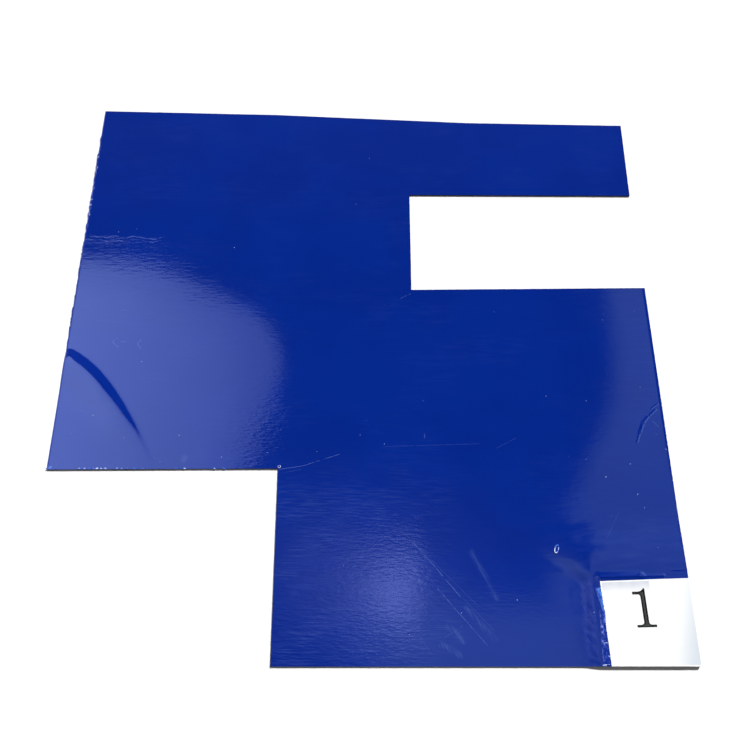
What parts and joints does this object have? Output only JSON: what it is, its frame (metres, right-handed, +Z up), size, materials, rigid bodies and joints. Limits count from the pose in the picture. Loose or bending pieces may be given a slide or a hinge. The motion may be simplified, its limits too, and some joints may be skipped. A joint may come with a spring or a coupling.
{
  "type": "cleanroom sticky mat",
  "caption": "Peel-off pad of tacky blue film sheets with numbered white corner tabs, cut by hand with a side slot and a missing corner to fit round equipment.",
  "frame": {"origin": "middle of the pad's plan, on the floor under its release liner", "axes": "+Z up through the sheets; +Y up the picture, from the edge with the pull tabs to the edge cut crooked; +X towards the side with the slot and the pull tabs"},
  "size_m": [0.4572, 0.4664, 0.0032],
  "materials": {
    "tacky_film": "gloss",
    "tab_label": "satin",
    "liner_film": "gloss",
    "tab_print": "matte"
  },
  "bodies": {
    "root": {"film_sheet_01": "tacky_film", "film_sheet_02": "tacky_film", "film_sheet_03": "tacky_film", "film_sheet_04": "tacky_film", "film_sheet_05": "tacky_film", "film_sheet_06": "tacky_film", "film_sheet_07": "tacky_film", "film_sheet_08": "tacky_film", "film_sheet_09": "tacky_film", "film_sheet_10": "tacky_film", "film_sheet_11": "tacky_film", "film_sheet_12": "tacky_film", "film_sheet_13": "tacky_film", "film_sheet_14": "tacky_film", "film_sheet_15": "tacky_film", "film_sheet_16": "tacky_film", "film_sheet_17": "tacky_film", "film_sheet_18": "tacky_film", "film_sheet_19": "tacky_film", "film_sheet_20": "tacky_film", "film_sheet_21": "tacky_film", "film_sheet_22": "tacky_film", "film_sheet_23": "tacky_film", "film_sheet_24": "tacky_film", "film_sheet_25": "tacky_film", "film_sheet_26": "tacky_film", "film_sheet_27": "tacky_film", "film_sheet_28": "tacky_film", "film_sheet_29": "tacky_film", "film_sheet_30": "tacky_film", "number_tab_01": "tab_label", "number_tabs_02_to_30": "tab_label", "release_liner": "liner_film"}
  },
  "joints": []
}
